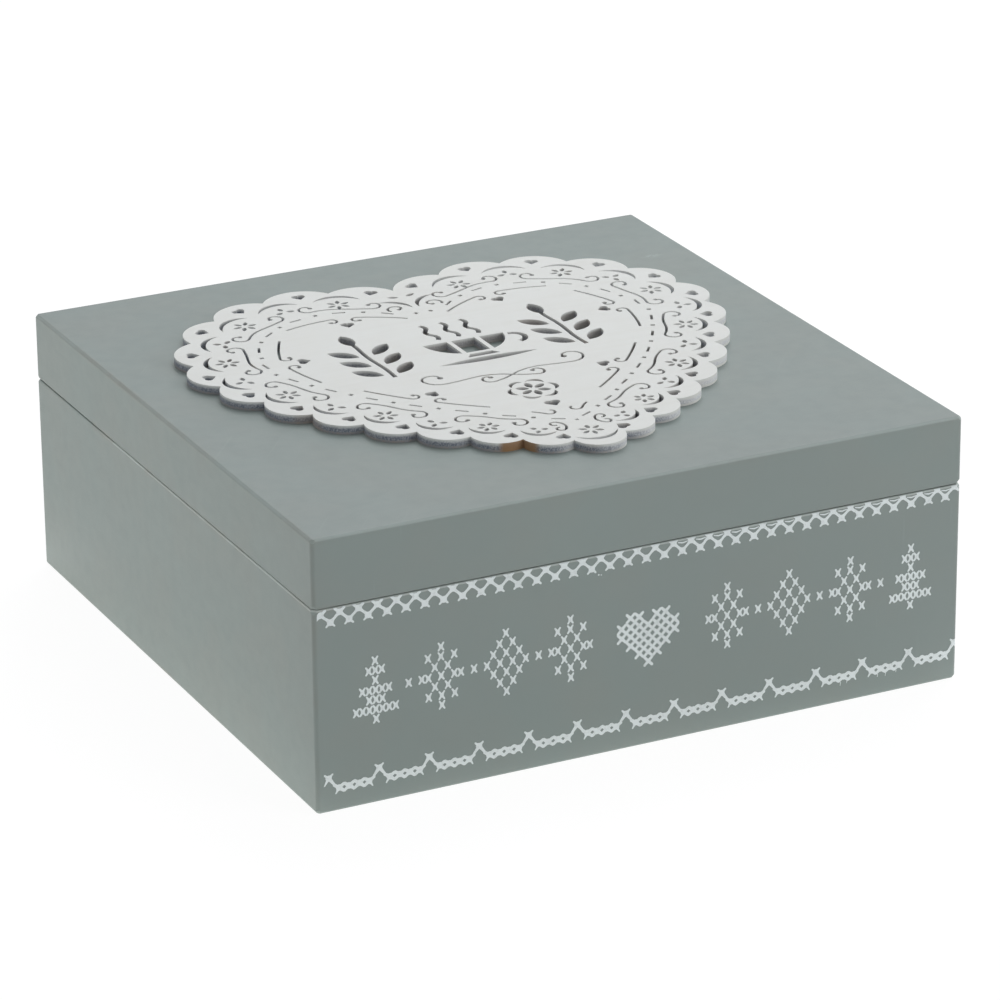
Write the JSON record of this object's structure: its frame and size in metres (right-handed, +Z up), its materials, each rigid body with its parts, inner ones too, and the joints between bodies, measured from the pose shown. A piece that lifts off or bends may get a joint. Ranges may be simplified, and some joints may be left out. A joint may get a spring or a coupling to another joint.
{
  "type": "tea bag organizer box",
  "caption": "Square wooden tea box in sanded grey paint with a shallow hinged lid, a lace-edged plywood heart on top and divided compartments inside.",
  "frame": {"origin": "middle of the underside of the square box", "axes": "+Z up, the printed front faces -Y, the hinges are on +Y, +X to the right"},
  "size_m": [0.17, 0.1732, 0.0702],
  "materials": {
    "painted_board": "matte grey-green paint, lightly sanded at the edges",
    "bare_wood": "smooth bare plywood",
    "whitewashed_plywood": "chalky white wash over laser-cut plywood",
    "brass": "satin brass plate"
  },
  "bodies": {
    "base": {"front_board": "painted_board", "back_board": "painted_board", "left_board": "painted_board", "right_board": "painted_board", "bottom_panel": "painted_board", "long_divider": "bare_wood", "cross_divider": "bare_wood", "base_hinge_leaf_left": "brass", "base_hinge_leaf_right": "brass", "hinge_pin_left": "brass", "hinge_pin_right": "brass", "base_hinge_screws": "brass"},
    "lid": {"lid_front_rail": "painted_board", "lid_back_rail": "painted_board", "lid_left_rail": "painted_board", "lid_right_rail": "painted_board", "lid_panel": "painted_board", "heart_plaque": "whitewashed_plywood", "lid_hinge_leaf_left": "brass", "lid_hinge_leaf_right": "brass", "lid_hinge_screws": "brass"}
  },
  "joints": [
    {"name": "lid_hinge", "type": "hinge", "parent": "base", "child": "lid", "pos_m": [0, 0.0867, 0.05083], "axis": [-1, 0, 0], "range_deg": [0, 180]}
  ]
}
